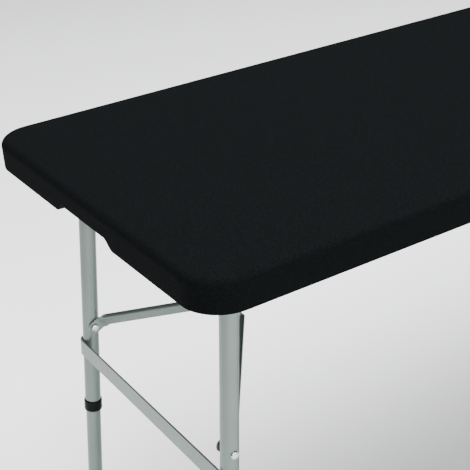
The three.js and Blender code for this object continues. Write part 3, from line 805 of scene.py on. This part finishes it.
class TABLE_OT_leg_fittings(bpy.types.Operator):
    """Moulds the collars and feet, and turns the snap buttons"""
    bl_idname = "table.leg_fittings"
    bl_label = "Collars, Feet and Buttons"

    def execute(self, context):
        place_at_legs(context, "height_collar", self.collar(), "leg_frame", "black_plastic", "leg_collar")
        place_at_legs(context, "foot_cap", self.foot(), "lower_leg", "black_plastic", "foot")
        start, end, _, radius = about("snap_button_left_back", BUTTON, BUTTON_OUT)
        tall = radius * BUTTON_DOME
        profile = [(0, start), (radius, start), *dome(radius, tall, end - tall, 1)]
        snap = turned("snap_button", profile, BUTTON, BUTTON_OUT, BUTTON_FACETS)
        place_at_legs(context, "spring_button", snap, "button", "zinc_steel", "snap_button")
        return {"FINISHED"}

    def collar(self):
        """A sleeve on the upper tube's end, whose lip closes in on the lower tube."""
        start, end, bore, outer = about("leg_collar_left_back", LEG_POINT, LEG_DOWN)
        seat = about("leg_upper_left_back", LEG_POINT, LEG_DOWN)[3] + PUSH_FIT
        ring = [(outer, start, COLLAR_TOP_ROUND), (outer, end, COLLAR_FOOT_ROUND),
                (bore, end, COLLAR_BORE_ROUND), (bore, end - COLLAR_LIP, COLLAR_SEAT_ROUND),
                (seat, end - COLLAR_LIP, COLLAR_SEAT_ROUND), (seat, start, COLLAR_BORE_ROUND)]
        outline = rounded(ring, COLLAR_ROUND_STEPS, closed=True)
        return turned("collar", outline, LEG_POINT, LEG_DOWN, FITTING_FACETS, closed=True)

    def foot(self):
        """A ribbed cap on the end of the lower tube, cut off level with the floor."""
        start, _, _, outer = about("foot_left_back", LEG_POINT, LEG_DOWN)
        tube_end, tube_radius = about("leg_lower_left_back", LEG_POINT, LEG_DOWN)[1::2]
        below = tube_end + 2 * outer
        bore, floor = tube_radius + PUSH_FIT, tube_end + PUSH_FIT
        groove = outer - RIB_WIDTH / 2
        outline = [(0, floor), (bore, floor), (bore, start, FOOT_MOUTH_ROUND), (outer, start, FOOT_ROUND)]
        for k in range(RIBS):
            height = start + RIB_START + RIB_PITCH * k
            outline += [(outer, height, RIB_ROUND), (groove, height + RIB_WIDTH / 2, RIB_ROUND),
                        (groove, height + RIB_WIDTH, RIB_ROUND),
                        (outer, height + GROOVE_END * RIB_WIDTH, RIB_ROUND)]
        outline += [(outer, below), (0, below)]
        mesh = turned("foot_cap", rounded(outline, END_ROUND_STEPS), LEG_POINT, LEG_DOWN, FITTING_FACETS)
        bm = bmesh.new()
        bm.from_mesh(mesh)
        everything = [*bm.verts, *bm.edges, *bm.faces]
        bmesh.ops.bisect_plane(bm, geom=everything, plane_co=(0, 0, 0), plane_no=-Z, clear_outer=True)
        bmesh.ops.holes_fill(bm, edges=[e for e in bm.edges if e.is_boundary])
        bmesh.ops.recalc_face_normals(bm, faces=bm.faces)
        return to_mesh(bm, "foot_cap")


# ---------------------------------------------------------------- cross straps
STRAP_EDGE = 0.5 * MM
WRAP_STEPS = 28


class TABLE_OT_cross_straps(bpy.types.Operator):
    """Bends the flat cross straps, whose ends wrap round the legs"""
    bl_idname = "table.cross_straps"
    bl_label = "Cross Straps"

    def execute(self, context):
        metal = context.scene.table_metal
        start, end, _, _ = about("cross_strap_left", HINGE, LEAN)
        middle = HINGE + LEAN * ((start + end) / 2)
        leg = leg_at(middle, LEAN)
        tube_radius = about("leg_upper_left_back", LEG_POINT, LEG_DOWN)[3]
        radius = tube_radius + metal.strap_gap + metal.strap / 2
        turns = [math.pi - metal.strap_wrap * (1 - k / WRAP_STEPS) for k in range(WRAP_STEPS + 1)]
        wrap = [(radius * math.cos(turn), leg.y + radius * math.sin(turn)) for turn in turns]
        path = [*wrap, *[(inward, -y) for inward, y in reversed(wrap)]]
        rows = [[Vector((middle.x, 0, middle.z)) + INWARD * inward + Y * y + LEAN * height
                 for inward, y in path]
                for height in ((end - start) / 2, (start - end) / 2)]
        strap = pressed("strap", rows, metal.strap)
        place_at_ends(context, "flat_strap", strap, "leg_frame", "coated_steel", "cross_strap", STRAP_EDGE)
        return {"FINISHED"}


# ---------------------------------------------------------------- folding braces
BRACE_EDGE = 0.35 * MM
HANGER_EDGE = 0.4 * MM
LEG_TAB = 12.4 * MM  # from the leg's rivet to the arm's bend
KNUCKLE_TAB = 21.2 * MM  # from the arm's other bend to the knuckle
ARM_BEND = 5 * MM
BEND_STEPS = 10
ARM_STEP = 2 * MM
FOLD_START = 3 * MM  # from a bend to where the flanges start to fold
FOLD_LENGTH = 9 * MM
FLANGE_PLAY = 1 * MM  # between the stay link and the arm's channel
SECTION_STEPS = 14
END_STEPS = 10
LINK_END = 8 * MM
LINK_STEPS = 20
LINK_SHEET = 0.75  # the stay link's sheet, as a share of the arms'
HANGER_SHEET = 2 * MM
HANGER_CORNER = 5 * MM
EAR_CORNER = 7.5 * MM
EAR_STEPS = 8


def on_slope(along, y, height):
    """A place by its distance up the brace from the leg's rivet, across, and above its line."""
    return BRACE_ROOT + SLOPE * along + Y * y + SLOPE_UP * height


def folded_half(total, fold_at, bend, turn):
    """Half of a pressed section: straight up to the fold, then turned aside through an angle."""
    step = total / SECTION_STEPS
    lateral = height = 0.0
    points = [(lateral, height)]
    for k in range(SECTION_STEPS):
        heading = turn * smooth_step(((k + 0.5) * step - fold_at + bend) / (2 * bend))
        lateral += math.sin(heading) * step
        height += math.cos(heading) * step
        points.append((lateral, height))
    return points


class Path:
    """A polyline in plan that can be followed by distance."""

    def __init__(self, points):
        self.points = points
        self.reaches = [0.0]
        for here, there in zip(points, points[1:]):
            self.reaches.append(self.reaches[-1] + (there - here).length)
        self.length = self.reaches[-1]

    def at(self, distance):
        """The point there and the direction to its left."""
        k = 0
        while k < len(self.points) - 2 and self.reaches[k + 1] < distance:
            k += 1
        here, there = self.points[k], self.points[k + 1]
        share = (distance - self.reaches[k]) / (self.reaches[k + 1] - self.reaches[k])
        ahead = (self.heading(k) * (1 - share) + self.heading(k + 1) * share).normalized()
        return here.lerp(there, share), Vector((-ahead.y, ahead.x))

    def heading(self, k):
        before = self.points[max(k - 1, 0)]
        after = self.points[min(k + 1, len(self.points) - 1)]
        return (after - before).normalized()

    def stations(self, first_radius, last_radius, step):
        """Distances along the path, closer together round its two rounded ends."""
        turns = quarter_turn(END_STEPS)[:-1]
        first = [first_radius * (1 - math.cos(t)) for t in turns]
        last = [self.length - last_radius * (1 - math.cos(t)) for t in turns]
        span = self.length - first_radius - last_radius
        count = int(span / step)
        between = [first_radius + span * k / count for k in range(count + 1)]
        return [*first, *between, *reversed(last)]


class TABLE_OT_folding_braces(bpy.types.Operator):
    """Presses the brace arms, the stay links and the brackets that hold them under the top"""
    bl_idname = "table.folding_braces"
    bl_label = "Folding Braces"

    def execute(self, context):
        metal = context.scene.table_metal
        reach = (centre_of("knuckle_rivet_left_back") - BRACE_ROOT).dot(SLOPE)
        place_at_legs(context, "pressed_arm", self.arm(metal, reach), "brace", "coated_steel",
                      "brace_arm", BRACE_EDGE)
        place_at_ends(context, "stay_channel", self.link(metal, reach), "stay", "coated_steel",
                      "stay_link", BRACE_EDGE)
        place_at_ends(context, "stay_hanger", self.hanger(metal), "top", "zinc_steel",
                      "stay_bracket", HANGER_EDGE)
        return {"FINISHED"}

    def arm(self, metal, reach):
        """A channel from leg to knuckle whose flanges open out into a flat tab at each end."""
        low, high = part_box("brace_arm_left_back")
        leg_y = high.y - metal.sheet / 2
        knuckle_y = low.y + metal.sheet / 2
        plan = [(-metal.tab_radius, leg_y), (LEG_TAB, leg_y, ARM_BEND),
                (reach - KNUCKLE_TAB, knuckle_y, ARM_BEND), (reach + metal.knuckle_radius, knuckle_y)]
        path = Path(rounded(plan, BEND_STEPS))
        leg_fold = metal.tab_radius + LEG_TAB + FOLD_START
        knuckle_fold = path.length - metal.knuckle_radius - KNUCKLE_TAB - FOLD_START
        half_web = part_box("stay_link_left")[1].y + FLANGE_PLAY - metal.sheet / 2
        folded_height = half_web + metal.flange - metal.sheet / 2
        rows = []
        for distance in path.stations(metal.tab_radius, metal.knuckle_radius, ARM_STEP):
            shut = min(smooth_step((distance - leg_fold) / FOLD_LENGTH),
                       smooth_step((knuckle_fold - distance) / FOLD_LENGTH))
            tab = metal.tab_radius if distance < path.length / 2 else metal.knuckle_radius
            from_end = min(distance, path.length - distance)
            flat = math.sqrt(max(tab ** 2 - max(tab - from_end, 0) ** 2, TINY ** 2))
            section = folded_half(flat + (folded_height - flat) * shut, half_web,
                                  metal.bend + metal.sheet / 2, shut * math.pi / 2)
            whole = [*[(lateral, -height) for lateral, height in reversed(section[1:])], *section]
            place, out = path.at(distance)
            spots = [(place + out * lateral, height) for lateral, height in whole]
            rows.append([on_slope(spot.x, spot.y, height) for spot, height in spots])
        hole = metal.shank + metal.hole_fit
        through = 8 * metal.sheet
        return combined(pressed("arm", rows, metal.sheet), "DIFFERENCE", [
            drill(hole, on_slope(0, leg_y, 0), Y, through),
            drill(hole, on_slope(reach, knuckle_y, 0), Y, through),
        ])

    def link(self, metal, first):
        """An upturned channel with round ends, from the knuckle to the hanger under the top."""
        half_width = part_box("stay_link_left")[1].y - metal.sheet / 2
        last = (STAY_PIVOT - BRACE_ROOT).length
        stations = [first - LINK_END * math.cos(t) for t in quarter_turn(END_STEPS)]
        stations += [first + (last - first) * k / LINK_STEPS for k in range(1, LINK_STEPS)]
        stations += [last + LINK_END * math.cos(t) for t in reversed(quarter_turn(END_STEPS))]
        rows = []
        for along in stations:
            beyond = max(first - along, along - last, 0)
            half = max(math.sqrt(max(LINK_END ** 2 - beyond ** 2, 0)), TINY)
            top = max(half - metal.sheet / 2, TINY)
            bend = min(metal.bend + metal.sheet / 2, top)
            section = rounded([(-half_width, -half), (-half_width, top, bend), (half_width, top, bend),
                               (half_width, -half)])
            rows.append([on_slope(along, y, height) for y, height in section])
        channel = pressed("stay_channel", rows, metal.sheet * LINK_SHEET)
        return combined(channel, "DIFFERENCE", [
            drill(metal.shank + metal.hole_fit, on_slope(along, 0, 0), Y, 4 * half_width)
            for along in (first, last)])

    def hanger(self, metal):
        """A plate screwed under the top, with two ears for the stay's pin."""
        low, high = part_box("stay_bracket_left")
        middle = (low + high) / 2
        half_x, half_y = (high.x - low.x) / 2, high.y
        half_drop = (high.z - HANGER_SHEET / 2 - low.z) / 2
        plate_outline = rounded([(-half_x, -half_y, HANGER_CORNER), (half_x, -half_y, HANGER_CORNER),
                                 (half_x, half_y, HANGER_CORNER), (-half_x, half_y, HANGER_CORNER)],
                                closed=True)
        plate = prism("plate", plate_outline, Vector((middle.x, 0, high.z - HANGER_SHEET / 2)), X, Y,
                      HANGER_SHEET)
        ear_outline = rounded([(-half_x, half_drop), (-half_x, -half_drop, EAR_CORNER),
                               (half_x, -half_drop, EAR_CORNER), (half_x, half_drop)], EAR_STEPS)
        pin_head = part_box("stay_bracket_pin_left")[1].y - metal.head_height
        ear_y = pin_head - metal.hole_fit - HANGER_SHEET / 2
        ears = [prism("ear", ear_outline, Vector((middle.x, side * ear_y, low.z + half_drop)), X, Z,
                      HANGER_SHEET)
                for side in (1, -1)]
        hanger = combined(plate, "UNION", ears)
        hole = drill(metal.shank + metal.hole_fit, STAY_PIVOT, Y, 4 * half_y)
        return combined(hanger, "DIFFERENCE", [hole])


# ---------------------------------------------------------------- pins and rivets
ROD_CHAMFER = 1.2 * MM
RING_OUTER_ROUND = 0.5 * MM
RING_INNER_ROUND = 0.2 * MM
RIVET_FACETS = 40


def headed(name, node, origin, metal, head_radius):
    """A pin along y with a domed head on each end."""
    start, end, _, _ = about(node, origin, Y)
    tall = metal.head_height
    profile = [*reversed(dome(head_radius, tall, start + tall, -1)), (metal.shank, start + tall),
               (metal.shank, end - tall), *dome(head_radius, tall, end - tall, 1)]
    return turned(name, profile, origin, Y, RIVET_FACETS)


class TABLE_OT_pins_and_rivets(bpy.types.Operator):
    """Turns the hinge rods and their clips, and every rivet and pin of the braces"""
    bl_idname = "table.pins_and_rivets"
    bl_label = "Rods, Rivets and Pins"

    def execute(self, context):
        metal = context.scene.table_metal
        place_at_ends(context, "pivot_rod", self.rod(), "leg_frame", "zinc_steel", "hinge_rod")
        place_at_legs(context, "retaining_ring", self.ring(), "leg_frame", "zinc_steel", "rod_clip")
        head = about("brace_rivet_left_back", BRACE_ROOT, Y)[3]
        rivet = headed("leg_rivet", "brace_rivet_left_back", BRACE_ROOT, metal, head)
        place_at_legs(context, "leg_rivet", rivet, "leg_frame", "zinc_steel", "brace_rivet")
        place_at_legs(context, "knuckle_stud", self.stud(metal), "brace", "zinc_steel", "knuckle_rivet")
        pin = headed("hanger_pin", "stay_bracket_pin_left", STAY_PIVOT, metal, head)
        place_at_ends(context, "hanger_pin", pin, "top", "zinc_steel", "stay_bracket_pin")
        return {"FINISHED"}

    def rod(self):
        """A hinge rod with chamfered ends."""
        start, end, _, radius = about("hinge_rod_left", HINGE, Y)
        tip = radius - ROD_CHAMFER
        profile = [(0, start), (tip, start), (radius, start + ROD_CHAMFER), (radius, end - ROD_CHAMFER),
                   (tip, end), (0, end)]
        return turned("pivot_rod", profile, HINGE, Y)

    def ring(self):
        """A clip that keeps the hinge rod in its rail."""
        start, end, inner, outer = about("rod_clip_left_back", HINGE, Y)
        section = [(inner, start, RING_INNER_ROUND), (outer, start, RING_OUTER_ROUND),
                   (outer, end, RING_OUTER_ROUND), (inner, end, RING_INNER_ROUND)]
        outline = rounded(section, END_ROUND_STEPS, closed=True)
        return turned("retaining_ring", outline, HINGE, Y, closed=True)

    def stud(self, metal):
        """A stud with one head, riveted into the arm's tab at the knuckle."""
        origin = centre_of("knuckle_rivet_left_back")
        origin.y = 0
        start, end, _, radius = about("knuckle_rivet_left_back", origin, Y)
        under = end - metal.head_height
        profile = [(0, start), (metal.shank, start), (metal.shank, under),
                   *dome(radius, metal.head_height, under, 1)]
        return turned("knuckle_stud", profile, origin, Y, RIVET_FACETS)


# ---------------------------------------------------------------- screws
HANGER_SCREWS_ALONG = 0.5  # the spacing of a hanger's screws, as a share of its plate's length
HANGER_SCREWS_ACROSS = 1.4  # and as a share of half its width
RECESS_LENGTH = 0.55  # the cross recess's arms, as shares of the head's radius
RECESS_WIDTH = 0.13
SCREW_FACETS = 24
SCREW_DOME_STEPS = 5
RAIL_SEED = 3  # give or take one for the side
HANGER_SEED = 5


class TABLE_OT_screws(bpy.types.Operator):
    """Drives the pan-head screws into the rails and the stay hangers"""
    bl_idname = "table.screws"
    bl_label = "Screws"

    def execute(self, context):
        metal = context.scene.table_metal
        screw = self.screw(metal)
        places = screw_places(metal)
        line = screw_line(metal)
        for side, way in SIDES.items():
            mesh = repeated(context, screw, "zinc_steel", {
                "Columns": len(places), "Rows": 1, "Size X": places[-1] - places[0], "Size Y": 0.0,
                "Middle": (0, way * line.y, line.z), "Turn": math.pi, "Seed": RAIL_SEED + way})
            place_piece(context, f"rail_screws_{side}", mesh, "top", "zinc_steel")
        low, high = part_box("stay_bracket_left")
        for end, facing in ENDS.items():
            mesh = repeated(context, screw, "zinc_steel", {
                "Columns": 2, "Rows": 2, "Size X": (high.x - low.x) * HANGER_SCREWS_ALONG,
                "Size Y": high.y * HANGER_SCREWS_ACROSS,
                "Middle": (facing * (low.x + high.x) / 2, 0, high.z - HANGER_SHEET),
                "Turn": math.pi, "Seed": HANGER_SEED})
            place_piece(context, f"hanger_screws_{end}", mesh, "top", "zinc_steel")
        return {"FINISHED"}

    def screw(self, metal):
        """A pan head seen from below, with a cross recess."""
        radius, tall = metal.screw_radius, metal.screw_height
        profile = [(0, 0), (radius, 0), *dome(radius, tall, 0, 1, SCREW_DOME_STEPS)[1:]]
        head = turned("screw", profile, Vector(), -Z, SCREW_FACETS)
        long, wide = radius * RECESS_LENGTH, radius * RECESS_WIDTH
        bars = [prism("bar", [(-a, -b), (a, -b), (a, b), (-a, b)], Vector((0, 0, -tall)), X, Y, tall)
                for a, b in ((long, wide), (wide, long))]
        return combined(head, "DIFFERENCE", bars)


# ---------------------------------------------------------------- studio
FLOOR_HALF = 14.0
FLOOR_DROP = 0.3 * MM  # so that the feet stand just clear of the floor
SENSOR_WIDTH = 36
VIEW_DEPTH = 100
AIM = Vector((0, 0, 0.5))  # the middle of the table, which every light points at
# Soft round lights: place and width in metres, power in watts.
LIGHTS = {
    "overhead": ((-0.4, 0.2, 4.4), 4.4, 640),
    "key": ((0.6, -4.4, 2.2), 1.2, 110),
    "front": ((-2.0, -3.6, 1.6), 1.0, 130),
}


class TABLE_OT_studio(bpy.types.Operator):
    """Lays the pale floor, hangs the soft lights and sets up the camera"""
    bl_idname = "table.studio"
    bl_label = "Studio"

    def execute(self, context):
        studio = context.scene.table_studio
        corners = [[Vector((x, y, -FLOOR_DROP)) for x in (-FLOOR_HALF, FLOOR_HALF)]
                   for y in (-FLOOR_HALF, FLOOR_HALF)]
        floor = grid_mesh("studio_floor", corners)
        plane = bpy.data.objects.new("studio_floor", floor)
        floor.materials.append(seamless_paper(studio.floor))
        context.scene.collection.objects.link(plane)
        for name, (place, size, power) in LIGHTS.items():
            self.light(context, name, Vector(place), size, power)
        world = bpy.data.worlds.new("studio_world")
        world.use_nodes = True
        background = world.node_tree.nodes["Background"]
        background.inputs["Color"].default_value = studio.room
        background.inputs["Strength"].default_value = studio.room_light
        context.scene.world = world
        data = bpy.data.cameras.new("studio_camera")
        data.lens = studio.lens
        data.sensor_width = SENSOR_WIDTH
        data.clip_end = VIEW_DEPTH
        camera = bpy.data.objects.new("studio_camera", data)
        turn = (Matrix.Rotation(-studio.camera_yaw, 4, "Z")
                @ Matrix.Rotation(math.pi / 2 - studio.camera_pitch, 4, "X")
                @ Matrix.Rotation(studio.camera_roll, 4, "Z"))
        camera.matrix_world = Matrix.Translation(studio.camera_place) @ turn
        context.scene.collection.objects.link(camera)
        context.scene.camera = camera
        return {"FINISHED"}

    def light(self, context, name, place, size, power):
        data = bpy.data.lights.new(name, "AREA")
        data.shape = "DISK"
        data.size = size
        data.energy = power
        lamp = bpy.data.objects.new(name, data)
        turn = (AIM - place).to_track_quat("-Z", "Y").to_matrix().to_4x4()
        lamp.matrix_world = Matrix.Translation(place) @ turn
        context.scene.collection.objects.link(lamp)


# ---------------------------------------------------------------- panel and registration
OPERATORS = (TABLE_OT_studio, TABLE_OT_moulded_top, TABLE_OT_side_rails, TABLE_OT_leg_tubes,
             TABLE_OT_leg_fittings, TABLE_OT_cross_straps, TABLE_OT_folding_braces,
             TABLE_OT_pins_and_rivets, TABLE_OT_screws)


class TABLE_PT_pieces(bpy.types.Panel):
    """Lists the pieces of the table in the order they are made"""
    bl_idname = "TABLE_PT_pieces"
    bl_label = "Folding Table"
    bl_space_type = "VIEW_3D"
    bl_region_type = "UI"
    bl_category = "Folding Table"

    def draw(self, context):
        for operator in OPERATORS:
            self.layout.operator(operator.bl_idname)
        for settings in (context.scene.table_top, context.scene.table_metal, context.scene.table_studio):
            box = self.layout.box()
            for name in settings.__annotations__:
                box.prop(settings, name)


CLASSES = (TopSettings, MetalSettings, StudioSettings, *OPERATORS, TABLE_PT_pieces)


def register():
    for cls in CLASSES:
        bpy.utils.register_class(cls)
    bpy.types.Scene.table_top = PointerProperty(type=TopSettings)
    bpy.types.Scene.table_metal = PointerProperty(type=MetalSettings)
    bpy.types.Scene.table_studio = PointerProperty(type=StudioSettings)


def unregister():
    del bpy.types.Scene.table_studio
    del bpy.types.Scene.table_metal
    del bpy.types.Scene.table_top
    for cls in reversed(CLASSES):
        bpy.utils.unregister_class(cls)


def main():
    register()
    for operator in OPERATORS:
        family, name = operator.bl_idname.split(".")
        getattr(getattr(bpy.ops, family), name)()


if __name__ == "__main__":
    main()
